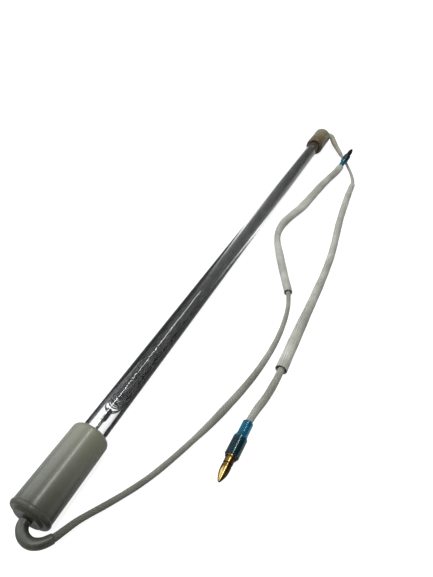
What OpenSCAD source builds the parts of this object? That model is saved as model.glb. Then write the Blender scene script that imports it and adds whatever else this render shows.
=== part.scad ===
// Quartz heating tube with silicone end caps and two sleeved leads.
// Millimetres, +Z up, the tube lies along Y and rests on z = 0.
// "near" is the end at -Y, "far" is the end at +Y.

/* [Quartz tube] */
// outer diameter of the quartz tube
tube_d = 10.5; // [8:0.1:16]
// wall of the quartz tube
tube_wall = 1; // [0.6:0.1:2]
// length of the quartz tube
tube_l = 406; // [300:1:600]

/* [Heating coil] */
// free space between the coil and the bore of the tube
coil_gap = 0.3; // [0.2:0.05:1.5]
// diameter of the coil wire as drawn
wire_d = 0.84; // [0.4:0.02:1]
// number of turns as drawn
coil_turns = 214; // [100:1:260]
// from the near end of the tube to the first turn
near_inset_l = 37.6; // [30:0.1:50]
// from the last turn to the far end of the tube
far_inset_l = 13; // [10:0.5:22]
// number of turns wound on each pin
pin_turns = 4; // [2:1:6]

/* [Terminal pins] */
// diameter of the pin that carries the coil
pin_d = 1.4; // [1:0.1:2]
// length of the crimp ferrule
crimp_l = 8; // [5:0.5:9]

/* [End caps] */
// thickness of the cap round the tube
cap_wall = 2.85; // [2.4:0.05:5]
// length of the cap without its boss
cap_l = 35; // [25:0.5:50]
// length of tube held in the cap
grip_l = 22; // [12:0.5:28]
// how far the bead stands out at the closed end
bead_rise = 0.3; // [0.1:0.05:0.8]
// height of the bead
bead_h = 2.4; // [1:0.1:4]
// rounding of the mouth edge
mouth_round = 1.8; // [0.4:0.1:2.5]
// step from the bead in to the lead boss
boss_step = 2.4; // [1.8:0.1:3]
// height of the lead boss
boss_h = 0.8; // [0.8:0.1:4]
// number of sealing ribs in the cap bore
rib_count = 3; // [1:1:4]
// free space round the tube in the cap bore
cap_clear = 0.12; // [0.05:0.01:0.3]

/* [Leads] */
// outside diameter of the braided lead
lead_d = 3; // [2:0.1:4]
// diameter of the circle on which the outer strands lie
strand_ring_d = 0.84; // [0.6:0.02:1]
// diameter of one strand
strand_d = 0.5; // [0.3:0.02:0.6]
// outside diameter of the braided sleeve
sleeve_d = 5.8; // [4.6:0.1:8]
// wall of the braided sleeve
sleeve_wall = 0.6; // [0.4:0.1:1]
// outside diameter of the strain relief at the cap
relief_d = 4.4; // [3.8:0.1:6]

/* [Bullet terminals] */
// length of the insulating boot
boot_l = 17.5; // [12:0.5:22]
// outside diameter of the boot at the contact
boot_d = 6; // [5:0.1:8]
// outside diameter of the boot at the lead
boot_neck_d = 4.6; // [4:0.1:6]
// length of the narrow part of the boot
boot_neck_l = 6; // [3:0.5:9]
// diameter of the bullet contact
bullet_d = 4; // [3.6:0.1:5]
// length of the bullet in front of the boot
bullet_l = 11.2; // [7:0.1:14]

/* [Hidden] */

// which part to draw

$fn = 64;

quartz_c = [0.80, 0.84, 0.86, 0.35];
coil_c = [0.17, 0.17, 0.18];
pin_c = [0.55, 0.55, 0.56];
crimp_c = [0.70, 0.68, 0.62];
cap_c = [0.66, 0.66, 0.60, 0.75];
lead_c = [0.66, 0.65, 0.60];
sleeve_c = [0.86, 0.86, 0.82];
copper_c = [0.72, 0.45, 0.28];
boot_c = [0.05, 0.42, 0.55];
brass_c = [0.78, 0.60, 0.25];

// gap of a seated metal piece, of an end that butts and of a strain relief
fit = 0.05;
seat_gap = 0.1;
relief_gap = 0.25;

// diameters that follow from the tube and the lead
cap_d = tube_d + 2 * cap_wall;
bead_d = cap_d + 2 * bead_rise;
boss_d = bead_d - 2 * boss_step;
coil_d = tube_d - 2 * (tube_wall + coil_gap);
crimp_d = lead_d;

// stations along the tube, measured from its middle towards either end
axis_z = bead_d / 2;
tube_end = tube_l / 2;
cap_mouth = tube_end - grip_l;
cap_end = cap_mouth + cap_l;
boss_end = cap_end + boss_h;
tube_stop = tube_end + seat_gap;
crimp_start = tube_end + 0.6;
crimp_end = crimp_start + crimp_l;
crimp_mid = (crimp_start + crimp_end) / 2;
lead_start = crimp_end + seat_gap;
relief_start = boss_end + relief_gap;

// coil stations along Y
coil_near = near_inset_l - tube_end;
coil_far = tube_end - far_inset_l;
coil_r = (coil_d - wire_d) / 2;
wrap_r = pin_d / 2 + wire_d / 2 + fit;
wrap_pitch = wire_d + 0.3;
// the wire leaves the pin over this many turns
flare_turns = 1.5;
flare_l = flare_turns * 2.2;
// pins reach this far past the last wrapped turn
pin_tip_l = 1.2;

// a turn is drawn as seven straight pieces of three-sided wire
turn_steps = 7;
wire_sides = 3;

// cap bore
socket_r = tube_d / 2 + cap_clear;
rib_r = tube_d / 2 + fit;
rib_pitch = 5;
rib_h = 1;
lead_bore_r = lead_d / 2 + seat_gap;
bead_r = bead_h / 2;
bead_c = bead_d / 2 - bead_r;
bead_from = -acos((cap_d / 2 - bead_c) / bead_r);
arc_steps = 8;
edge = 0.4;

// terminal stations, measured from the back of the boot
lead_in_boot = boot_neck_l + 1;
barrel_start = lead_in_boot + 0.6;
barrel_bore_l = 4.4;
barrel_r = bullet_d / 2 + 0.2;
barrel_wall_gap = seat_gap;
collar_r = bullet_d / 2 + 0.45;
collar_h = 0.6;
groove_share = 0.34;
groove_at = boot_l + bullet_l * groove_share;
groove_h = 1;
groove_depth = 0.4;
nose_share = 0.5;
nose_at = boot_l + bullet_l * nose_share;
nose_l = boot_l + bullet_l - nose_at;
nose_flat_r = 0.5;
nose_power = 1.9;
bundle_bore_r = strand_ring_d / 2 + strand_d / 2 + 0.06;

// terminals: back of the boot, lift in degrees, heading in degrees from +X
near_term = [33, 149.6, 4.2];
near_lift = 17;
near_head = 80;
far_term = [53.4, -147, 3];
far_lift = 0;
far_head = -92;

// ends of the leads as straight pieces in line with the boots
function along(p, lift, head, s) =
    p + s * [cos(lift) * cos(head), cos(lift) * sin(head), sin(lift)];

// a sleeve stops this far short of a boot
sleeve_stop = 0.5;

// the lead of the near cap: loop at the cap, then the run on the table
near_free = [[0, -lead_start, axis_z], [0, -214.2, axis_z],
    [0, -relief_start, axis_z], [0.5, -219.3, 8.4], [2.8, -221.3, 8.1],
    [6, -221.8, 7.5], [8.9, -220.3, 6.8], [10.9, -217.2, 5.8],
    [12.1, -213.4, 4.7], [13.5, -209, 3.5], [15.6, -204.6, 2.4],
    [18.4, -199.8, 1.7], [21.8, -194.2, 1.5], [25.4, -188, 1.5],
    [28.8, -181, 1.5], [32.2, -172.4, 1.5], [35.4, -163.2, 1.6],
    [38.8, -153, 1.8], [41.8, -142, 1.9], [44.6, -129.8, 1.8],
    [47, -116.6, 1.7], [48.4, -103, 1.6], [48.8, -90, 1.5],
    [48.2, -77, 1.6], [46.4, -64.6, 2]];
near_cover = [[43, -53, 2.5], [38.2, -42.6, 2.6], [31.6, -28.2, 2.7],
    [25.2, -13.6, 2.7], [20, -1, 2.5], [16.6, 11.6, 2.6],
    [16, 25.4, 2.9], [18.2, 41, 2.7], [21.4, 57.4, 2.5],
    [24, 82, 2.5], [26.4, 106, 2.6], [29.4, 126, 2.7],
    [31.6, 140.2, 2.7],
    along(near_term, near_lift, near_head, -sleeve_stop)];
near_tail = [along(near_term, near_lift, near_head, lead_in_boot / 2),
    along(near_term, near_lift, near_head, lead_in_boot)];

// the lead of the far cap: loop, run under the other terminal, long sleeve
far_free = [[0, lead_start, axis_z], [0, 214.2, axis_z],
    [0, relief_start, axis_z], [0.6, 219.8, 8.4], [3.1, 221.9, 8.4],
    [6.4, 222.1, 8.3], [9.5, 219.9, 7.9], [12.1, 214.6, 7.2],
    [15, 207.8, 6.4], [18.6, 200.4, 5.4], [22.8, 192.4, 4.4],
    [27.2, 184.2, 3.3], [31.8, 175.4, 2.3], [36.6, 165.2, 1.7],
    [40.8, 154.4, 1.5], [44.4, 144.2, 1.5], [47.4, 133.8, 1.7],
    [49.4, 124.6, 2.2]];
far_cover = [[50.2, 116, 2.4], [50.8, 94, 2.7], [51.8, 72, 2.6],
    [53, 51, 2.6], [54.6, 32, 2.5], [56.2, 15, 2.5], [57.4, -1, 2.5],
    [58, -15, 2.5], [58.2, -30, 2.5], [58.1, -46, 2.6],
    [57.9, -62, 2.7], [57.6, -78, 2.8], [57.4, -94, 3],
    [57.2, -113, 3]];
far_tail = [[56.8, -121, 2.4], [55.8, -130.4, 2], [54.2, -139.4, 2.5],
    along(far_term, far_lift, far_head, 0),
    along(far_term, far_lift, far_head, lead_in_boot)];

near_route = concat(near_free, near_cover, near_tail);
far_route = concat(far_free, far_cover, far_tail);

// smooth curve through the points of a route
route_steps = 2;
lead_sides = 8;
sleeve_sides = 10;

function blend(a, b, c, d, t) =
    0.5 * (2 * b + (c - a) * t + (2 * a - 5 * b + 4 * c - d) * t * t
    + (3 * b - a - 3 * c + d) * t * t * t);

function smooth(p, first, last) =
    concat([for (i = [first:last - 1], j = [0:route_steps - 1])
        blend(p[max(i - 1, 0)], p[i], p[i + 1],
            p[min(i + 2, len(p) - 1)], j / route_steps)], [p[last]]);

function heading(p, i) =
    let (d = p[min(i + 1, len(p) - 1)] - p[max(i - 1, 0)]) d / norm(d);

// one ring of a run: half as wide as w says and half as high as h says
function ring(c, t, w, h, n) =
    let (u = cross([0, 0, 1], t), side = u / norm(u), top = cross(t, side))
    [for (k = [0:n - 1]) c + w * cos(360 * k / n) * side
        + h * sin(360 * k / n) * top];

function rings(p, sizes, n) =
    [for (i = [0:len(p) - 1])
        each ring(p[i], heading(p, i), sizes[i][0], sizes[i][1], n)];

function even(p, r) =
    [for (i = [0:len(p) - 1]) [r, r]];

function grown(sizes, by) =
    [for (q = sizes) [q[0] + by, q[1] + by]];

function skin(m, n, base) =
    [for (i = [0:m - 2], k = [0:n - 1])
        let (a = base + i * n + k, b = base + i * n + (k + 1) % n)
        each [[a, a + n, b], [b, a + n, b + n]]];

function turned(f) =
    [for (t = f) [t[2], t[1], t[0]]];

function end_ring(m, n, out, inn) =
    [for (k = [0:n - 1])
        let (q = (k + 1) % n, a = out + m * n, b = inn + m * n)
        each [[a + k, a + q, b + k], [a + q, b + q, b + k]]];

module solid_run(p, sizes, n) {
    m = len(p);
    polyhedron(points = rings(p, sizes, n),
        faces = concat(skin(m, n, 0), [[for (k = [0:n - 1]) k]],
            [[for (k = [n - 1:-1:0]) (m - 1) * n + k]]));
}

module hollow_run(p, outer, inner, n) {
    m = len(p);
    inn = m * n;
    polyhedron(points = concat(rings(p, outer, n), rings(p, inner, n)),
        faces = concat(skin(m, n, 0), turned(skin(m, n, inn)),
            end_ring(0, n, 0, inn), turned(end_ring(m - 1, n, 0, inn))));
}

// places a piece of an end: local +Z points out of that end
module near_end() {
    translate([0, 0, axis_z])
        rotate([90, 0, 0])
            children();
}

module far_end() {
    translate([0, 0, axis_z])
        rotate([-90, 0, 0])
            children();
}

// places a terminal: local +Z points from the lead to the bullet
module terminal(p, lift, head) {
    translate(p)
        rotate([0, 0, head])
            rotate([0, 90 - lift, 0])
                children();
}

function arc(c, s, r, from, to) =
    [for (i = [0:arc_steps])
        let (a = from + (to - from) * i / arc_steps)
        [c + r * cos(a), s + r * sin(a)]];

// section of the cap: radius and station from the middle of the tube
function ribs() =
    [for (i = [rib_count - 1:-1:0])
        let (s = cap_mouth + rib_pitch * (i + 0.6))
        each [[socket_r, s + rib_h], [rib_r, s + rib_h * 0.7],
            [rib_r, s + rib_h * 0.3], [socket_r, s]]];

cap_section = concat(
    [[socket_r + edge, cap_mouth]],
    arc(cap_d / 2 - mouth_round, cap_mouth + mouth_round, mouth_round, -90, 0),
    arc(bead_c, cap_end - bead_r, bead_r, bead_from, 90),
    [[boss_d / 2 + edge, cap_end], [boss_d / 2, cap_end + edge],
    [boss_d / 2, boss_end - edge], [boss_d / 2 - edge, boss_end],
    [lead_bore_r, boss_end], [lead_bore_r, tube_stop],
    [socket_r, tube_stop]],
    ribs(),
    [[socket_r, cap_mouth + edge]]);

module cap() {
    rotate_extrude()
        polygon(cap_section);
}

module quartz_tube() {
    r = tube_d / 2;
    bore = r - tube_wall;
    polish = tube_wall / 4;
    color(quartz_c)
        translate([0, 0, axis_z])
            rotate([90, 0, 0])
                rotate_extrude()
                    polygon([[bore, polish - tube_end],
                        [bore + polish, -tube_end], [r - polish, -tube_end],
                        [r, polish - tube_end], [r, tube_end - polish],
                        [r - polish, tube_end], [bore + polish, tube_end],
                        [bore, tube_end - polish]]);
}

// centre line of the wire: turn number gives radius and station
coil_all = coil_turns + 2 * (pin_turns + flare_turns);
main_from = pin_turns + flare_turns;
main_to = main_from + coil_turns;
main_pitch = (coil_far - coil_near) / coil_turns;

function ease(x) =
    x * x * (3 - 2 * x);

function wire_r(t) =
    t < pin_turns ? wrap_r
    : t < main_from ? wrap_r + (coil_r - wrap_r) * ease((t - pin_turns) / flare_turns)
    : t < main_to ? coil_r
    : t < main_to + flare_turns ? coil_r - (coil_r - wrap_r) * ease((t - main_to) / flare_turns)
    : wrap_r;

function wire_y(t) =
    t < pin_turns ? coil_near - flare_l - wrap_pitch * (pin_turns - t)
    : t < main_from ? coil_near - flare_l * (main_from - t) / flare_turns
    : t < main_to ? coil_near + main_pitch * (t - main_from)
    : t < main_to + flare_turns ? coil_far + flare_l * (t - main_to) / flare_turns
    : coil_far + flare_l + wrap_pitch * (t - main_to - flare_turns);

module heating_coil() {
    m = round(coil_all * turn_steps);
    line = [for (i = [0:m])
        let (t = i / turn_steps)
        [wire_r(t) * cos(360 * t), wire_y(t), axis_z + wire_r(t) * sin(360 * t)]];
    shape = [for (i = [0:m])
        let (a = 360 * i / turn_steps)
        each [for (k = [0:wire_sides - 1])
            let (b = 360 * k / wire_sides)
            line[i] + wire_d / 2 * [cos(b) * cos(a), sin(b), cos(b) * sin(a)]]];
    color(coil_c)
        polyhedron(points = shape,
            faces = concat(turned(skin(m + 1, wire_sides, 0)), [[2, 1, 0]],
                [[m * wire_sides, m * wire_sides + 1, m * wire_sides + 2]]));
}

// pin from its tip inside the wound turns to the middle of the crimp
module pin(tip) {
    dome = pin_d / 4;
    color(pin_c)
        rotate_extrude()
            polygon([[0, tip], [pin_d / 2 - dome, tip],
                [pin_d / 2, tip + dome], [pin_d / 2, crimp_mid - seat_gap],
                [0, crimp_mid - seat_gap]]);
}

near_tip = -coil_near + flare_l - pin_tip_l;
far_tip = coil_far + flare_l - pin_tip_l;

module near_pin() {
    near_end()
        pin(near_tip);
}

module far_pin() {
    far_end()
        pin(far_tip);
}

// ferrule with two pressed notches
module crimp() {
    notch_r = 1.1;
    notch_depth = 0.35;
    color(crimp_c)
        difference() {
            translate([0, 0, crimp_start])
                cylinder(d = crimp_d, h = crimp_l);
            translate([0, 0, crimp_start - 1])
                cylinder(r = pin_d / 2 + fit, h = crimp_l + 2);
            for (s = [crimp_mid - crimp_l / 4, crimp_mid + crimp_l / 4])
                translate([-crimp_d, crimp_d / 2 + notch_r - notch_depth, s])
                    rotate([0, 90, 0])
                        cylinder(r = notch_r, h = 2 * crimp_d);
        }
}

module near_crimp() {
    near_end()
        crimp();
}

module far_crimp() {
    far_end()
        crimp();
}

module near_cap() {
    color(cap_c)
        near_end()
            cap();
}

module far_cap() {
    color(cap_c)
        far_end()
            cap();
}

// the braid of a lead is slack in places: point of the route, share of lead_d
near_girth = [[0, 1], [7, 1], [9, 0.82], [16, 0.84], [17.5, 1.2], [19, 1.14],
    [21, 1], [24, 0.82], [26, 0.94], [38, 1]];
far_girth = [[0, 1], [11, 1], [13, 0.78], [15, 0.78], [17, 0.95], [30, 0.95],
    [32, 1.2], [34, 1.2], [35, 1]];

module lead(route, girth) {
    p = smooth(route, 0, len(route) - 1);
    sizes = [for (i = [0:len(p) - 1])
        let (r = lead_d / 2 * lookup(i / route_steps, girth)) [r, r]];
    color(lead_c)
        solid_run(p, sizes, lead_sides);
}

module near_lead() {
    lead(near_route, near_girth);
}

module far_lead() {
    lead(far_route, far_girth);
}

// a sleeve is pressed flat in places: point of the sleeve, share of sleeve_d
near_flat = [[0, 0.79], [2, 0.9], [3, 0.86], [4, 0.76], [5, 0.79], [6, 0.97],
    [7, 1.14], [8, 1.24], [9, 1.19], [11, 1.1], [13, 1.1]];
far_flat = [[0, 0.74], [1, 0.9], [3, 0.86], [4, 0.83], [6, 0.81], [8, 0.83],
    [10, 0.89], [11, 0.94], [12, 1.02], [13, 1.02]];
flat_low = lead_d / 2 + sleeve_wall + 0.15;

function flat_size(w) =
    [w, min(w, max(sleeve_d - w, flat_low))];

module sleeve(route, first, points, flat) {
    p = smooth(route, first, first + points - 1);
    sizes = [for (i = [0:len(p) - 1])
        flat_size(sleeve_d / 2 * lookup(i / route_steps, flat))];
    color(sleeve_c)
        hollow_run(p, sizes, grown(sizes, -sleeve_wall), sleeve_sides);
}

module near_sleeve() {
    sleeve(near_route, len(near_free), len(near_cover), near_flat);
}

module far_sleeve() {
    sleeve(far_route, len(far_free), len(far_cover), far_flat);
}

// strain relief: soft tapered tube on the first bend, point and share of wall
relief_from = 2;
relief_wall = (relief_d - lead_d) / 2;
near_taper = [[2, 1], [7, 0.4]];
far_taper = [[2, 1.1], [2.5, 1.6], [8, 1.6], [9, 1.1], [11, 0.5]];

module relief(route, to, taper) {
    p = smooth(route, relief_from, to);
    outer = [for (i = [0:len(p) - 1])
        let (share = lookup(relief_from + i / route_steps, taper),
            r = lead_d / 2 + relief_wall * share) [r, r]];
    color(cap_c)
        hollow_run(p, outer, even(p, lead_d / 2 + fit), lead_sides);
}

module near_relief() {
    relief(near_route, 7, near_taper);
}

module far_relief() {
    relief(far_route, 11, far_taper);
}

// stripped end of a lead: a bundle with the outline of its six outer strands
strand_points = 8;

function strand_reach(a) =
    let (r = strand_ring_d / 2)
    r * cos(a) + sqrt(pow(strand_d / 2, 2) - pow(r * sin(a), 2));

module strands(from, to) {
    step = 60 / strand_points;
    color(copper_c)
        translate([0, 0, from])
            linear_extrude(height = to - from)
                polygon([for (k = [0:5], i = [0:strand_points - 1])
                    let (a = i * step - 30, reach = strand_reach(a))
                    reach * [cos(60 * k + a), sin(60 * k + a)]]);
}

module near_inner_strands() {
    near_end()
        strands(crimp_mid + seat_gap, lead_start);
}

module far_inner_strands() {
    far_end()
        strands(crimp_mid + seat_gap, lead_start);
}

module outer_strands() {
    strands(lead_in_boot + seat_gap, barrel_start + barrel_bore_l - seat_gap);
}

module near_outer_strands() {
    terminal(near_term, near_lift, near_head)
        outer_strands();
}

module far_outer_strands() {
    terminal(far_term, far_lift, far_head)
        outer_strands();
}

// boot: soft shell with a neck for the lead and a wide part for the barrel
module boot() {
    neck_r = boot_neck_d / 2;
    wide_r = boot_d / 2;
    bore_r = lead_d / 2 + seat_gap;
    hold_r = barrel_r + barrel_wall_gap;
    wide_from = boot_neck_l + 2;
    color(boot_c)
        rotate_extrude()
            polygon([[bore_r, 0], [neck_r - edge, 0], [neck_r, edge],
                [neck_r, boot_neck_l], [wide_r - edge, wide_from - edge / 2],
                [wide_r, wide_from + edge], [wide_r, boot_l - edge],
                [wide_r - edge, boot_l], [hold_r, boot_l],
                [hold_r, barrel_start - fit], [bore_r, barrel_start - fit]]);
}

module near_boot() {
    terminal(near_term, near_lift, near_head)
        boot();
}

module far_boot() {
    terminal(far_term, far_lift, far_head)
        boot();
}

// bullet: bored barrel, collar, groove and a rounded nose
module bullet() {
    r = bullet_d / 2;
    bore_end = barrel_start + barrel_bore_l;
    collar_from = boot_l + fit;
    nose = [for (i = [0:arc_steps])
        let (t = i / arc_steps)
        [nose_flat_r + (r - nose_flat_r) * (1 - pow(t, nose_power)),
            nose_at + nose_l * t]];
    color(brass_c)
        rotate_extrude()
            polygon(concat(
                [[0, bore_end], [bundle_bore_r, bore_end],
                [bundle_bore_r, barrel_start], [barrel_r, barrel_start],
                [barrel_r, collar_from], [collar_r, collar_from],
                [collar_r, collar_from + collar_h],
                [r, collar_from + collar_h + edge],
                [r, groove_at - groove_h / 2],
                [r - groove_depth, groove_at - groove_h / 4],
                [r - groove_depth, groove_at + groove_h / 4],
                [r, groove_at + groove_h / 2]],
                nose,
                [[0, nose_at + nose_l]]));
}

module near_bullet() {
    terminal(near_term, near_lift, near_head)
        bullet();
}

module far_bullet() {
    terminal(far_term, far_lift, far_head)
        bullet();
}

quartz_tube();
heating_coil();
near_pin();
far_pin();
near_crimp();
far_crimp();
near_cap();
far_cap();
near_lead();
far_lead();
near_inner_strands();
far_inner_strands();
near_outer_strands();
far_outer_strands();
near_relief();
far_relief();
near_sleeve();
far_sleeve();
near_boot();
far_boot();
near_bullet();
far_bullet();
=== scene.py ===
import math

import bpy
import numpy as np
from mathutils import Matrix, Vector


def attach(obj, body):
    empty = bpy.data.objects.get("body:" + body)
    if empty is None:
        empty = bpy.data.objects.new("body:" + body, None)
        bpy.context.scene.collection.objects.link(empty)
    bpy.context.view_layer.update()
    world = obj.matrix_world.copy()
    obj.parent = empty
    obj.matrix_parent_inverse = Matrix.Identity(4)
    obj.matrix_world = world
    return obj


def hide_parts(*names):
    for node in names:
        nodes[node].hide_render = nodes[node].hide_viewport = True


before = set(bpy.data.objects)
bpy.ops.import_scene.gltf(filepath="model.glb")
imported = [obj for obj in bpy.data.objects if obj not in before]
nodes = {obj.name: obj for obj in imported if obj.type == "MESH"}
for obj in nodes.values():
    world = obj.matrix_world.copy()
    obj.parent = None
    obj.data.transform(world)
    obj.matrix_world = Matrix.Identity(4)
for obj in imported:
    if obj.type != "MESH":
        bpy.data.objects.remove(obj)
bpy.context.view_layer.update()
MM = 0.001
RIM_RUN = 0.3
ROUTE_STEPS = 12

# ---------------------------------------------------------------- camera
cam_data = bpy.data.cameras.new("camera")
cam_data.sensor_width = 36.0
cam_data.sensor_fit = "AUTO"
cam_data.lens = 27.02
cam_data.clip_start = 0.005
cam_data.clip_end = 20.0
cam = bpy.data.objects.new("camera", cam_data)
bpy.context.scene.collection.objects.link(cam)
right = Vector((0.91385, 0.40606, 0.0)).normalized()
forward = Vector((-0.32349, 0.72804, -0.60441)).normalized()
up = right.cross(forward).normalized()
cam.matrix_world = Matrix((
    (right.x, up.x, -forward.x, 0.0862),
    (right.y, up.y, -forward.y, -0.2538),
    (right.z, up.z, -forward.z, 0.1579),
    (0.0, 0.0, 0.0, 1.0)))
bpy.context.scene.camera = cam
bpy.context.scene.view_settings.view_transform = "Standard"


# ---------------------------------------------------------------- helpers
def link(ob):
    bpy.context.scene.collection.objects.link(ob)
    return ob


def mesh_piece(name, verts, faces, uvs=None, smooth=True):
    me = bpy.data.meshes.new(name)
    me.from_pydata([tuple(float(c) for c in v) for v in verts], [], faces)
    if uvs is not None:
        layer = me.uv_layers.new(name="UVMap")
        flat = [c for face in uvs for uv in face for c in uv]
        layer.data.foreach_set("uv", flat)
    me.validate()
    me.update()
    if smooth:
        me.polygons.foreach_set("use_smooth", [True] * len(me.polygons))
    return link(bpy.data.objects.new(name, me))


def blend_points(a, b, c, d, t):
    """Catmull-Rom point between b and c."""
    return 0.5 * (2 * b + (c - a) * t + (2 * a - 5 * b + 4 * c - d) * t * t
                  + (3 * b - a - 3 * c + d) * t ** 3)


def smooth_route(points, first, last, steps):
    p = [np.array(q, float) for q in points]
    out = []
    for i in range(first, last):
        for j in range(steps):
            out.append(blend_points(p[max(i - 1, 0)], p[i], p[i + 1],
                                    p[min(i + 2, len(p) - 1)], j / steps))
    out.append(p[last])
    return np.array(out)


def resample(path, step):
    """Points at even steps along the path, and their distances."""
    seg = np.linalg.norm(np.diff(path, axis=0), axis=1)
    s = np.concatenate([[0], np.cumsum(seg)])
    n = max(2, int(round(s[-1] / step)) + 1)
    t = np.linspace(0, s[-1], n)
    return np.stack([np.interp(t, s, path[:, k]) for k in range(3)], 1), t


def frames_of(path):
    """Sideways and upward unit vectors across the path."""
    d = np.gradient(path, axis=0)
    t = d / np.linalg.norm(d, axis=1)[:, None]
    s = np.cross(np.array([0.0, 0.0, 1.0]), t)
    s /= np.linalg.norm(s, axis=1)[:, None]
    return s, np.cross(t, s)


def tube_mesh(name, path, dist, radius, sides, inner=None):
    """Sweeps a ring along path. radius(dist, angle) gives rings of radii."""
    s, w = frames_of(path)
    ang = np.linspace(0, 2 * math.pi, sides, endpoint=False)
    m = len(path)

    def shell(rad):
        r = rad(dist[:, None], ang[None, :])
        return (path[:, None, :] + r[..., None]
                * (np.cos(ang)[None, :, None] * s[:, None, :]
                   + np.sin(ang)[None, :, None] * w[:, None, :]))

    verts = shell(radius).reshape(-1, 3)
    faces, uvs = [], []

    def quads(base, flip):
        for i in range(m - 1):
            v0, v1 = dist[i], dist[i + 1]
            for k in range(sides):
                q = (k + 1) % sides
                u0, u1 = k / sides, (k + 1) / sides
                f = (base + i * sides + k, base + i * sides + q,
                     base + (i + 1) * sides + q, base + (i + 1) * sides + k)
                uv = ((u0, v0), (u1, v0), (u1, v1), (u0, v1))
                if flip:
                    f, uv = f[::-1], uv[::-1]
                faces.append(f)
                uvs.append(uv)

    quads(0, False)
    if inner is not None:
        verts = np.vstack([verts, shell(inner).reshape(-1, 3)])
        base = m * sides
        quads(base, True)
        for i, flip in ((0, True), (m - 1, False)):
            for k in range(sides):
                q = (k + 1) % sides
                f = (i * sides + k, i * sides + q,
                     base + i * sides + q, base + i * sides + k)
                u0, u1 = k / sides, (k + 1) / sides
                v0, v1 = dist[i], dist[i] + RIM_RUN
                uv = ((u0, v0), (u1, v0), (u1, v1), (u0, v1))
                if flip:
                    f, uv = f[::-1], uv[::-1]
                faces.append(f)
                uvs.append(uv)
    else:
        for i, order in ((0, -1), (m - 1, 1)):
            f = tuple(i * sides + k for k in range(sides))[::order]
            faces.append(f)
            uvs.append(tuple((0.5, dist[i]) for _ in f))
    return mesh_piece(name, verts * MM, faces, uvs)


def lathe(name, section, sides, place):
    """Turns a closed section of (radius, height) round local Z."""
    n = len(section)
    verts, faces = [], []
    for k in range(sides):
        a = 2 * math.pi * k / sides
        for r, z in section:
            verts.append(place @ Vector((r * math.cos(a) * MM,
                                         r * math.sin(a) * MM, z * MM)))
    for k in range(sides):
        q = (k + 1) % sides
        for i in range(n):
            j = (i + 1) % n
            faces.append((k * n + i, k * n + j, q * n + j, q * n + i))
    return mesh_piece(name, verts, faces)


# ---------------------------------------------------------------- cords
near_lift, near_head = 17.0, 80.0
far_lift, far_head = 0.0, -92.0
near_term = np.array([33.0, 149.6, 4.2])
far_term = np.array([53.4, -147.0, 3.0])


def direction(lift, head):
    a, b = math.radians(lift), math.radians(head)
    return np.array([math.cos(a) * math.cos(b), math.cos(a) * math.sin(b), math.sin(a)])


near_dir = direction(near_lift, near_head)
far_dir = direction(far_lift, far_head)

near_free = [(0, -211.7, 8.4), (0, -214.2, 8.4), (0, -217.05, 8.4),
             (0.5, -219.3, 8.4), (2.8, -221.3, 8.1), (6, -221.8, 7.5),
             (8.9, -220.3, 6.8), (10.9, -217.2, 5.8), (12.1, -213.4, 4.7),
             (13.5, -209, 3.5), (15.6, -204.6, 2.4), (18.4, -199.8, 1.7),
             (21.8, -194.2, 1.5), (25.4, -188, 1.5), (28.8, -181, 1.5),
             (32.2, -172.4, 1.5), (35.4, -163.2, 1.6), (38.8, -153, 1.8),
             (41.8, -142, 1.9), (44.6, -129.8, 1.8), (47, -116.6, 1.7),
             (48.4, -103, 1.6), (48.8, -90, 1.5), (48.2, -77, 1.6),
             (46.4, -64.6, 2)]
near_cover = [(43, -53, 2.5), (38.2, -42.6, 2.6), (31.6, -28.2, 2.7),
              (25.2, -13.6, 2.7), (20, -1, 2.5), (16.6, 11.6, 2.6),
              (16, 25.4, 2.9), (18.2, 41, 2.7), (21.4, 57.4, 2.5),
              (24, 82, 2.5), (26.4, 106, 2.6), (29.4, 126, 2.7),
              (31.6, 140.2, 2.7), tuple(near_term - 0.5 * near_dir)]
near_tail = [tuple(near_term + 3.5 * near_dir), tuple(near_term + 7 * near_dir)]
far_free = [(0, 211.7, 8.4), (0, 214.2, 8.4), (0, 217.05, 8.4),
            (0.6, 219.8, 8.4), (3.1, 221.9, 8.4), (6.4, 222.1, 8.3),
            (9.5, 219.9, 7.9), (12.1, 214.6, 7.2), (15, 207.8, 6.4),
            (18.6, 200.4, 5.4), (22.8, 192.4, 4.4), (27.2, 184.2, 3.3),
            (31.8, 175.4, 2.3), (36.6, 165.2, 1.7), (40.8, 154.4, 1.5),
            (44.4, 144.2, 1.5), (47.4, 133.8, 1.7), (49.4, 124.6, 2.2)]
far_cover = [(50.2, 116, 2.4), (50.8, 94, 2.7), (51.8, 72, 2.6),
             (53, 51, 2.6), (54.6, 32, 2.5), (56.2, 15, 2.5), (57.4, -1, 2.5),
             (58, -15, 2.5), (58.2, -30, 2.5), (58.1, -46, 2.6),
             (57.9, -62, 2.7), (57.6, -78, 2.8), (57.4, -94, 3),
             (57.2, -113, 3)]
far_tail = [(56.8, -121, 2.4), (55.8, -130.4, 2), (54.2, -139.4, 2.5),
            tuple(far_term), tuple(far_term + 7 * far_dir)]
near_route = near_free + near_cover + near_tail
far_route = far_free + far_cover + far_tail

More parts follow.
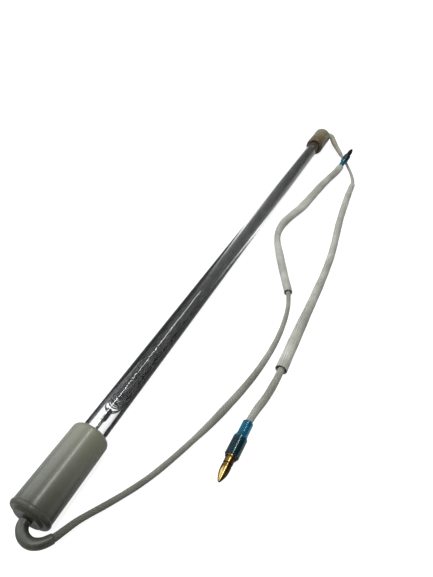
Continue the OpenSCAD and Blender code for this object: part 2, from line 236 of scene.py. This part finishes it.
LEAD_R = 1.5
LEAD_WEAVE = 0.08
LEAD_SINK = 0.07
LEAD_CARRIERS, LEAD_PITCH = 12, 1.3
SLEEVE_CARRIERS, SLEEVE_PITCH = 18, 1.7
SLEEVE_R = 2.9
SLEEVE_WALL = 0.6
SLEEVE_WEAVE = 0.17
SLEEVE_SINK = 0.12
SLEEVE_THICKNESS = 0.40
RELIEF_FIT = 0.03
NEAR_FLAT = ((0, 0.79), (2, 0.9), (3, 0.86), (4, 0.76), (5, 0.79), (6, 0.97),
             (7, 1.14), (8, 1.24), (9, 1.19), (11, 1.1), (13, 1.1))
FAR_FLAT = ((0, 0.74), (1, 0.9), (3, 0.86), (4, 0.83), (6, 0.81), (8, 0.83),
            (10, 0.89), (11, 0.94), (12, 1.02), (13, 1.02))
NEAR_GIRTH = ((0, 1), (7, 1), (9, 0.82), (16, 0.84), (17.5, 1.2), (19, 1.14),
              (21, 1), (24, 0.82), (26, 0.94), (38, 1))
FAR_GIRTH = ((0, 1), (11, 1), (13, 0.78), (15, 0.78), (17, 0.95), (30, 0.95),
             (32, 1.2), (34, 1.2), (35, 1))
NEAR_TAPER = ((2, 2.2), (7, 1.78))
FAR_TAPER = ((2, 2.27), (2.5, 2.62), (8, 2.62), (9, 2.27), (11, 1.85))


def spread(line, start, dist, table, window):
    """Values of a table over the points of a route, one for each place."""
    seg = np.linalg.norm(np.diff(line, axis=0), axis=1)
    at = np.concatenate([[0], np.cumsum(seg)])
    index = start + np.interp(dist, at, np.arange(len(line)) / ROUTE_STEPS)
    value = np.interp(index, [p[0] for p in table], [p[1] for p in table])
    kernel = np.ones(2 * window + 1) / (2 * window + 1)
    return np.convolve(np.pad(value, window, mode="edge"), kernel, mode="valid")


def weave(dist, ang, carriers, pitch):
    """Height from 0 to 1 of a two-way braid: strands cross over and under."""
    a = np.cos(carriers * ang + 2 * math.pi * dist / pitch)
    b = np.cos(carriers * ang - 2 * math.pi * dist / pitch)
    under = 0.35 * np.sin(carriers * ang) * np.sin(2 * math.pi * dist / pitch)
    return np.clip((np.maximum(a + under, b - under) + 0.35) / 1.7, 0, 1)


def build_lead(name, route, girth):
    line = smooth_route(route, 0, len(route) - 1, ROUTE_STEPS)
    path, dist = resample(line, 0.30)
    share = spread(line, 0, dist, girth, 14)

    def outer(d, a):
        r = LEAD_R * np.interp(d[:, 0], dist, share)[:, None]
        soft = 0.03 * np.sin(d / 5.1 + a) + 0.02 * np.sin(d / 1.9 - 2 * a)
        return r - LEAD_SINK + LEAD_WEAVE * weave(d, a, LEAD_CARRIERS, LEAD_PITCH) + soft

    ob = tube_mesh(name, path, dist, outer, 48)
    return ob, path, dist[-1]


def build_sleeve(name, route, first, last, table):
    line = smooth_route(route, first, last, ROUTE_STEPS)
    path, dist = resample(line, 0.38)
    end = dist[-1]
    wide = SLEEVE_R * spread(line, 0, dist, table, 12)
    low = LEAD_R + SLEEVE_WALL + 0.15
    high = np.minimum(wide, np.maximum(2 * SLEEVE_R - wide, low))

    def body(d, a):
        w = np.interp(d[:, 0], dist, wide)[:, None]
        h = np.interp(d[:, 0], dist, high)[:, None]
        r = w * h / np.sqrt((h * np.cos(a)) ** 2 + (w * np.sin(a)) ** 2)
        soft = 0.05 * np.sin(d / 6.3 + 1.3) + 0.04 * np.sin(d / 2.7 + 2 * a)
        flare = 0.16 * np.exp(-d / 1.0) + 0.10 * np.exp(-(end - d) / 1.0)
        return r - SLEEVE_SINK + soft + flare

    def outer(d, a):
        return body(d, a) + SLEEVE_WEAVE * weave(d, a, SLEEVE_CARRIERS, SLEEVE_PITCH)

    def inner(d, a):
        return body(d, a) - SLEEVE_THICKNESS

    return tube_mesh(name, path, dist, outer, 72, inner=inner)


def build_relief(name, route, last, taper):
    first = 2
    line = smooth_route(route, first, last, ROUTE_STEPS)
    path, dist = resample(line, 0.3)
    end = dist[-1]
    size = spread(line, first, dist, taper, 6)

    def outer(d, a):
        r = np.interp(d[:, 0], dist, size)[:, None]
        lip = 0.08 * np.exp(-((d - 0.35) / 0.4) ** 2)
        return r + lip - 0.12 * np.exp(-(end - d) / 0.4) + 0 * a

    def inner(d, a):
        return LEAD_R + RELIEF_FIT + 0 * (d + a)

    return tube_mesh(name, path, dist, outer, 40, inner=inner)


near_lead, near_path, near_len = build_lead("near_lead_braid", near_route, NEAR_GIRTH)
far_lead, far_path, far_len = build_lead("far_lead_braid", far_route, FAR_GIRTH)
first = len(near_free)
near_sleeve = build_sleeve("near_sleeve_braid", near_route, first,
                           first + len(near_cover) - 1, NEAR_FLAT)
first = len(far_free)
far_sleeve = build_sleeve("far_sleeve_braid", far_route, first,
                          first + len(far_cover) - 1, FAR_FLAT)
near_relief = build_relief("near_relief_sleeve", near_route, 7, NEAR_TAPER)
far_relief = build_relief("far_relief_sleeve", far_route, 11, FAR_TAPER)
for ob, node, slot in ((near_lead, "near_lead", "lead_braid"),
                       (far_lead, "far_lead", "lead_braid"),
                       (near_sleeve, "near_sleeve", "sleeve_braid"),
                       (far_sleeve, "far_sleeve", "sleeve_braid"),
                       (near_relief, "near_relief", "silicone"),
                       (far_relief, "far_relief", "silicone")):
    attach(ob, "root")
    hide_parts(node)


# ---------------------------------------------------------------- coil
AXIS_Z = 8.4
WIRE_R = 0.30
COIL_OUTER_R = 3.95
COIL_R = COIL_OUTER_R - WIRE_R
PIN_R, PIN_FIT = 0.7, 0.03
WRAPS, WRAP_PITCH = 7, 0.64
FLARE_TURNS, FLARE_RUN = 1.5, 3.3
COIL_FROM, COIL_TO = -165.4, 190.0
TURNS = 430
OPEN_TURN, OPEN_AT = 2.2, 0.7
WRAP_R = PIN_R + WIRE_R + PIN_FIT


def coil_line():
    """The wire from the wraps on one pin, over the main coil, to the other."""
    steps = 16
    total = TURNS + 2 * (WRAPS + FLARE_TURNS)
    t = np.arange(0, total + 1e-9, 1 / steps)
    main0, main1 = WRAPS + FLARE_TURNS, WRAPS + FLARE_TURNS + TURNS
    end1 = main1 + FLARE_TURNS

    def ease(x):
        x = np.clip(x, 0, 1)
        return x * x * (3 - 2 * x)

    r = WRAP_R + (COIL_R - WRAP_R) * (ease((t - WRAPS) / FLARE_TURNS)
                                      - ease((t - main1) / FLARE_TURNS))
    pitch = (COIL_TO - COIL_FROM) / TURNS
    y = np.select(
        [t < WRAPS, t < main0, t < main1, t < end1],
        [COIL_FROM - FLARE_RUN - WRAP_PITCH * (WRAPS - t),
         COIL_FROM - FLARE_RUN * (main0 - t) / FLARE_TURNS,
         COIL_FROM + pitch * (t - main0),
         COIL_TO + FLARE_RUN * (t - main1) / FLARE_TURNS],
        COIL_TO + FLARE_RUN + WRAP_PITCH * (t - end1))
    ang = 2 * math.pi * t
    lean = np.exp(-(t - main0 - OPEN_AT) ** 2) * (0.5 - 0.5 * np.cos(ang))
    y = y - OPEN_TURN * lean
    return np.stack([r * np.cos(ang), y, AXIS_Z + r * np.sin(ang)], 1), ang


def build_coil():
    line, ang = coil_line()
    sides = 5
    out = np.stack([np.cos(ang), np.zeros_like(ang), np.sin(ang)], 1)
    axis = np.array([0.0, 1.0, 0.0])
    rings = []
    for k in range(sides):
        b = 2 * math.pi * k / sides
        rings.append(line + WIRE_R * (math.cos(b) * out + math.sin(b) * axis))
    verts = np.stack(rings, 1).reshape(-1, 3) * MM
    m = len(line)
    faces = []
    for i in range(m - 1):
        for k in range(sides):
            q = (k + 1) % sides
            faces.append((i * sides + k, i * sides + q,
                          (i + 1) * sides + q, (i + 1) * sides + k))
    faces.append(tuple(range(sides))[::-1])
    faces.append(tuple((m - 1) * sides + k for k in range(sides)))
    return mesh_piece("coil_winding", verts, faces)


coil = build_coil()
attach(coil, "root")
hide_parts("heating_coil")


# ---------------------------------------------------------------- glass tube
TUBE_R, TUBE_BORE, TUBE_END = 5.25, 4.25, 203.0
POLISH = 0.25


def build_glass():
    along_y = Matrix.Translation((0, 0, AXIS_Z * MM)) @ Matrix.Rotation(
        math.radians(90), 4, "X")
    soft = [math.radians(a) for a in (90, 60, 30, 0)]
    section = []
    for r, sign in ((TUBE_R - POLISH, 1), (TUBE_R - POLISH, -1)):
        arc = [(r + POLISH * math.cos(a), sign * (TUBE_END - POLISH + POLISH * math.sin(a)))
               for a in soft]
        section += arc if sign > 0 else arc[::-1]
    for r, sign in ((TUBE_BORE + POLISH, -1), (TUBE_BORE + POLISH, 1)):
        arc = [(r - POLISH * math.cos(a), sign * (TUBE_END - POLISH + POLISH * math.sin(a)))
               for a in soft]
        section += arc if sign < 0 else arc[::-1]
    return lathe("quartz_glass", section, 160, along_y)


glass = build_glass()
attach(glass, "root")
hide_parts("quartz_tube")


# ---------------------------------------------------------------- materials
class Mat:
    def __init__(self, name):
        self.m = bpy.data.materials.new(name)
        self.m.use_nodes = True
        self.t = self.m.node_tree
        self.p = self.t.nodes["Principled BSDF"]
        self.out = self.t.nodes["Material Output"]

    def n(self, kind, **kw):
        node = self.t.nodes.new(kind)
        for k, v in kw.items():
            setattr(node, k, v)
        return node

    def l(self, a, b):
        self.t.links.new(a, b)

    def set(self, **kw):
        for k, v in kw.items():
            self.p.inputs[k.replace("_", " ")].default_value = v

    def math(self, op, a, b=None):
        node = self.n("ShaderNodeMath", operation=op)
        for i, x in enumerate((a, b)):
            if x is None:
                continue
            if isinstance(x, (int, float)):
                node.inputs[i].default_value = x
            else:
                self.l(x, node.inputs[i])
        return node.outputs[0]

    def place(self):
        return self.n("ShaderNodeTexCoord").outputs["Object"]

    def split(self, vector):
        node = self.n("ShaderNodeSeparateXYZ")
        self.l(vector, node.inputs[0])
        return node.outputs

    def span(self, value, from_min, from_max, to_min=0.0, to_max=1.0):
        """Maps a value from one range to another, and clamps it."""
        node = self.n("ShaderNodeMapRange")
        for key, number in (("From Min", from_min), ("From Max", from_max),
                            ("To Min", to_min), ("To Max", to_max)):
            node.inputs[key].default_value = number
        self.l(value, node.inputs["Value"])
        return node.outputs[0]

    def stir(self, value, noise, amount):
        """Adds a noise to a value, centred on it."""
        return self.math("ADD", value, self.math(
            "MULTIPLY", self.math("SUBTRACT", noise, 0.5), amount))

    def noise(self, scale, detail, stretch=None):
        coord = self.place()
        if stretch is not None:
            mp = self.n("ShaderNodeMapping")
            mp.inputs["Scale"].default_value = stretch
            self.l(coord, mp.inputs["Vector"])
            coord = mp.outputs[0]
        node = self.n("ShaderNodeTexNoise")
        node.inputs["Scale"].default_value = scale
        node.inputs["Detail"].default_value = detail
        node.inputs["Roughness"].default_value = 0.55
        self.l(coord, node.inputs["Vector"])
        return node.outputs["Fac"]

    def ramp(self, fac, stops):
        node = self.n("ShaderNodeValToRGB")
        el = node.color_ramp.elements
        while len(el) < len(stops):
            el.new(0.5)
        for e, (pos, col) in zip(el, stops):
            e.position = pos
            e.color = (*col, 1.0)
        self.l(fac, node.inputs["Fac"])
        return node.outputs["Color"]

    def bump(self, height, dist, strength=1.0):
        node = self.n("ShaderNodeBump")
        node.inputs["Distance"].default_value = dist
        node.inputs["Strength"].default_value = strength
        self.l(height, node.inputs["Height"])
        self.l(node.outputs[0], self.p.inputs["Normal"])

    def color(self, socket):
        self.l(socket, self.p.inputs["Base Color"])

    def rough(self, fac, lo, hi):
        self.l(self.span(fac, 0.0, 1.0, lo, hi), self.p.inputs["Roughness"])


def srgb(r, g, b):
    """Linear colour of an 8-bit sRGB one."""
    def linear(c):
        c /= 255.0
        return c / 12.92 if c <= 0.04045 else ((c + 0.055) / 1.055) ** 2.4
    return (linear(r), linear(g), linear(b))


def braid_material(name, dark, mid, light, carriers, pitch, shaded_near_cap=False):
    """Two-way braid with two fibres a strand, with painted shade in the gaps between
    strands. With shaded_near_cap, painted shade darkens it towards the near cap.
    """
    m = Mat(name)
    fine = 2.0
    uv = m.split(m.n("ShaderNodeUVMap", uv_map="UVMap").outputs[0])
    turn = m.math("MULTIPLY", uv[0], 2 * math.pi * carriers)
    run = m.math("MULTIPLY", uv[1], 2 * math.pi / pitch)
    a = m.math("COSINE", m.math("ADD", turn, run))
    b = m.math("COSINE", m.math("SUBTRACT", turn, run))
    cross = m.math("MAXIMUM", a, b)
    fa = m.math("COSINE", m.math("MULTIPLY", m.math("ADD", turn, run), fine))
    fb = m.math("COSINE", m.math("MULTIPLY", m.math("SUBTRACT", turn, run), fine))
    pick = m.math("GREATER_THAN", a, b)
    fibre = m.math("ADD", m.math("MULTIPLY", fa, pick),
                   m.math("MULTIPLY", fb, m.math("SUBTRACT", 1.0, pick)))
    height = m.math("ADD", m.math("MULTIPLY", cross, 0.75), m.math("MULTIPLY", fibre, 0.22))
    wear = m.noise(60.0, 4.0)
    # Painted shade: the weave height darkens the gaps between strands and lightens the
    # crests; the wear noise adds random tone.
    wear_and_gap_shade = m.math("ADD", m.math("MULTIPLY", height, 0.32), m.math("MULTIPLY", wear, 0.75))
    shade = m.ramp(wear_and_gap_shade, [(0.0, dark), (0.45, mid), (0.85, light)])
    # Painted shade: darkens the braid from y -150 mm towards the near cap, to about a third
    # of its colour at the cap's end.
    if shaded_near_cap:
        reach = m.span(m.split(m.place())[1], -0.215, -0.150)
        near_cap_shade = m.ramp(m.math("ADD", reach, m.math("MULTIPLY", wear, 0.15)),
                      [(0.05, (0.36, 0.37, 0.34)), (0.95, (1.0, 1.0, 1.0))])
        mul = m.n("ShaderNodeMix", data_type="RGBA", blend_type="MULTIPLY")
        mul.inputs["Factor"].default_value = 1.0
        m.l(shade, mul.inputs[6])
        m.l(near_cap_shade, mul.inputs[7])
        shade = mul.outputs[2]
    m.color(shade)
    m.rough(wear, 0.62, 0.9)
    m.set(Sheen_Weight=0.25, Sheen_Roughness=0.5)
    m.p.inputs["Specular IOR Level"].default_value = 0.3
    m.bump(height, 0.00012, 0.9)
    return m.m


near_lead.data.materials.append(braid_material(
    "near_lead_braid", srgb(78, 78, 69), srgb(132, 132, 120), srgb(176, 176, 164),
    LEAD_CARRIERS, LEAD_PITCH, shaded_near_cap=True))
far_lead.data.materials.append(braid_material(
    "far_lead_braid", srgb(82, 82, 72), srgb(138, 138, 127), srgb(184, 184, 172),
    LEAD_CARRIERS, LEAD_PITCH))
sleeve_mat = braid_material("sleeve_braid", srgb(70, 70, 61), srgb(158, 158, 146),
                            srgb(212, 212, 201), SLEEVE_CARRIERS, SLEEVE_PITCH)
for ob in (near_sleeve, far_sleeve):
    ob.data.materials.append(sleeve_mat)


def coil_material():
    m = Mat("coil_wire")
    n = m.noise(220.0, 4.0)
    m.color(m.ramp(n, [(0.3, srgb(20, 22, 21)), (0.55, srgb(38, 40, 38)),
                       (0.8, srgb(72, 71, 68))]))
    m.set(Metallic=0.9)
    m.rough(n, 0.24, 0.42)
    m.bump(m.noise(900.0, 2.0), 0.00002)
    return m.m


def glass_material():
    m = Mat("quartz")
    m.set(Transmission_Weight=1.0, IOR=1.458, Base_Color=(0.97, 0.98, 0.98, 1.0))
    n = m.noise(40.0, 3.0, stretch=(1.0, 0.08, 1.0))
    m.rough(n, 0.0, 0.015)
    return m.m


def cap_material(name, mouth, middle, end, tint):
    """Translucent silicone, greyer where metal and lead lie behind it."""
    m = Mat(name)
    along = m.math("ABSOLUTE", m.split(m.place())[1])
    cloud = m.noise(90.0, 3.0)
    fac = m.stir(m.span(along, 0.181, 0.218), cloud, 0.22)
    m.color(m.ramp(fac, [(0.0, mouth), (0.5, middle), (0.92, end), (1.0, tint)]))
    m.set(Subsurface_Weight=0.15, Subsurface_Scale=0.002)
    m.p.inputs["Subsurface Radius"].default_value = (1.0, 1.0, 0.9)
    m.l(m.span(along, 0.212, 0.2165, 0.42, 0.08), m.p.inputs["Specular IOR Level"])
    m.rough(cloud, 0.24, 0.32)
    fine = m.noise(500.0, 2.0)
    m.bump(m.math("ADD", m.math("MULTIPLY", cloud, 0.8), m.math("MULTIPLY", fine, 0.2)),
           0.00012, 0.35)
    return m.m


def plain_silicone(name, low, high):
    m = Mat(name)
    n = m.noise(140.0, 3.0)
    m.color(m.ramp(n, [(0.3, low), (0.7, high)]))
    m.set(Subsurface_Weight=0.2, Subsurface_Scale=0.002)
    m.rough(n, 0.3, 0.5)
    m.bump(m.noise(600.0, 2.0), 0.00008, 0.4)
    return m.m


def boot_material():
    """Clear teal vinyl, darker over the metal barrel in its wide part."""
    m = Mat("boot_vinyl")
    n = m.noise(160.0, 3.0)
    reach = m.span(m.math("ABSOLUTE", m.split(m.place())[1]), 0.1535, 0.1575)
    fac = m.stir(reach, n, 0.5)
    m.color(m.ramp(fac, [(0.0, srgb(20, 128, 160)), (0.35, srgb(10, 120, 150)),
                         (1.0, srgb(6, 66, 78))]))
    m.set(Transmission_Weight=0.7, IOR=1.5)
    m.rough(n, 0.10, 0.22)
    m.bump(n, 0.00012, 0.35)
    return m.m


def metal_material(name, dark, mid, light, lo, hi, grain, side_shade=None):
    """Metal with a grain. side_shade is painted shade: the colour of all that doesn't face
    up.
    """
    m = Mat(name)
    n = m.noise(grain, 4.0)
    shade = m.ramp(n, [(0.28, dark), (0.5, mid), (0.75, light)])
    # Painted light: faces that point up keep the lit metal colour, and the rest fade to the
    # painted shade colour.
    if side_shade is not None:
        facing = m.split(m.n("ShaderNodeNewGeometry").outputs["Normal"])[2]
        bright = m.span(m.stir(facing, n, 0.4), 0.45, 0.88)
        mix = m.n("ShaderNodeMix", data_type="RGBA")
        m.l(bright, mix.inputs["Factor"])
        mix.inputs[6].default_value = (*side_shade, 1.0)
        m.l(shade, mix.inputs[7])
        shade = mix.outputs[2]
    m.color(shade)
    m.set(Metallic=1.0)
    m.rough(n, lo, hi)
    m.bump(m.noise(grain * 4, 2.0), 0.00002, 0.5)
    return m.m


brass = metal_material("brass", srgb(96, 74, 38), srgb(158, 128, 72), srgb(198, 172, 112),
                       0.16, 0.30, 240.0, side_shade=srgb(38, 29, 17))
brass_dark = metal_material("brass_dull", srgb(30, 27, 22), srgb(54, 48, 38),
                            srgb(88, 78, 58), 0.22, 0.42, 240.0, side_shade=srgb(20, 18, 14))
steel = metal_material("pin_steel", srgb(44, 44, 44), srgb(72, 71, 70),
                       srgb(110, 108, 106), 0.22, 0.40, 300.0)
plated = metal_material("crimp_plated", srgb(110, 104, 92), srgb(160, 152, 136),
                        srgb(190, 184, 170), 0.22, 0.4, 260.0)
copper = metal_material("copper", srgb(110, 60, 34), srgb(168, 100, 62),
                        srgb(204, 140, 100), 0.25, 0.45, 400.0)


def dress(node, mat):
    ob = nodes[node]
    if not ob.material_slots:
        ob.data.materials.append(mat)
    for s in ob.material_slots:
        s.material = mat


coil.data.materials.append(coil_material())
glass.data.materials.append(glass_material())
dress("near_cap", cap_material("near_cap_silicone", srgb(124, 126, 108), srgb(104, 105, 94),
                               srgb(74, 75, 66), srgb(48, 49, 41)))
dress("far_cap", cap_material("far_cap_silicone", srgb(88, 74, 50), srgb(122, 114, 90),
                              srgb(126, 122, 104), srgb(108, 106, 92)))
near_relief.data.materials.append(plain_silicone("near_relief_silicone", srgb(50, 51, 43),
                                                 srgb(74, 76, 66)))
far_relief.data.materials.append(plain_silicone("far_relief_silicone", srgb(132, 130, 116),
                                                srgb(160, 158, 144)))
for n in ("near_boot", "far_boot"):
    dress(n, boot_material())
dress("far_bullet", brass)
dress("near_bullet", brass_dark)
for n in ("near_pin", "far_pin"):
    dress(n, steel)
for n in ("near_crimp", "far_crimp"):
    dress(n, plated)
for n in ("near_inner_strands", "far_inner_strands", "near_outer_strands",
          "far_outer_strands"):
    dress(n, copper)


# ---------------------------------------------------------------- stage
FLOOR_GLOW = 0.90
FLOOR_HALF = 3.0
FLOOR_DROP = 0.0001
MIRRORED_SHARE = 0.3


def stage_floor():
    """Grey to the light, so that shadows stay, and white where it is seen."""
    s = FLOOR_HALF
    ob = mesh_piece("floor", [(-s, -s, 0), (s, -s, 0), (s, s, 0), (-s, s, 0)],
                    [(0, 1, 2, 3)], smooth=False)
    ob.location.z = -FLOOR_DROP
    m = Mat("floor_white")
    m.set(Base_Color=(0.30, 0.30, 0.30, 1.0), Roughness=0.9)
    m.p.inputs["Specular IOR Level"].default_value = 0.0
    emit = m.n("ShaderNodeEmission")
    emit.inputs["Color"].default_value = (1.0, 1.0, 1.0, 1.0)
    path = m.n("ShaderNodeLightPath")
    seen = m.math("MAXIMUM", path.outputs["Is Camera Ray"],
                  m.math("MAXIMUM",
                         m.math("MULTIPLY", path.outputs["Is Glossy Ray"], MIRRORED_SHARE),
                         path.outputs["Is Transmission Ray"]))
    m.l(m.math("MULTIPLY", seen, FLOOR_GLOW), emit.inputs["Strength"])
    add = m.n("ShaderNodeAddShader")
    m.l(m.p.outputs[0], add.inputs[0])
    m.l(emit.outputs[0], add.inputs[1])
    m.l(add.outputs[0], m.out.inputs["Surface"])
    ob.data.materials.append(m.m)


def area(name, place, target, size, power, color=(1, 1, 1), size_y=None):
    data = bpy.data.lights.new(name, "AREA")
    data.energy = power
    data.color = color
    data.size = size
    if size_y is not None:
        data.shape = "RECTANGLE"
        data.size_y = size_y
    ob = link(bpy.data.objects.new(name, data))
    ob.location = place
    aim = Vector(target) - Vector(place)
    ob.rotation_euler = aim.to_track_quat("-Z", "Y").to_euler()


def stage_world():
    """White where it is seen, and brighter from the upper left as a light."""
    world = bpy.data.worlds.new("studio")
    bpy.context.scene.world = world
    world.use_nodes = True
    t = world.node_tree
    t.nodes.clear()
    out = t.nodes.new("ShaderNodeOutputWorld")
    light = t.nodes.new("ShaderNodeBackground")
    white = t.nodes.new("ShaderNodeBackground")
    mix = t.nodes.new("ShaderNodeMixShader")
    path = t.nodes.new("ShaderNodeLightPath")
    mx = t.nodes.new("ShaderNodeMath")
    mx.operation = "MAXIMUM"
    white.inputs["Color"].default_value = (1, 1, 1, 1)
    white.inputs["Strength"].default_value = 1.0
    light.inputs["Color"].default_value = (0.95, 0.97, 1.0, 1)
    where = t.nodes.new("ShaderNodeTexCoord")
    side = t.nodes.new("ShaderNodeVectorMath")
    side.operation = "DOT_PRODUCT"
    side.inputs[1].default_value = (-0.74, -0.30, 0.60)
    fade = t.nodes.new("ShaderNodeMapRange")
    fade.inputs["From Min"].default_value = -0.2
    fade.inputs["From Max"].default_value = 1.0
    fade.inputs["To Min"].default_value = 0.04
    fade.inputs["To Max"].default_value = 0.62
    t.links.new(where.outputs["Generated"], side.inputs[0])
    t.links.new(side.outputs["Value"], fade.inputs["Value"])
    t.links.new(fade.outputs[0], light.inputs["Strength"])
    t.links.new(path.outputs["Is Camera Ray"], mx.inputs[0])
    t.links.new(path.outputs["Is Transmission Ray"], mx.inputs[1])
    t.links.new(mx.outputs[0], mix.inputs[0])
    t.links.new(light.outputs[0], mix.inputs[1])
    t.links.new(white.outputs[0], mix.inputs[2])
    t.links.new(mix.outputs[0], out.inputs["Surface"])


stage_floor()
stage_world()
area("strip_top", (0.20, -0.02, 1.00), (0.0, -0.02, 0.0), 1.5, 9.0, size_y=0.10)
area("soft_left", (-0.85, -0.20, 0.80), (0.0, -0.05, 0.0), 1.2, 9.0, (0.90, 0.92, 1.0))
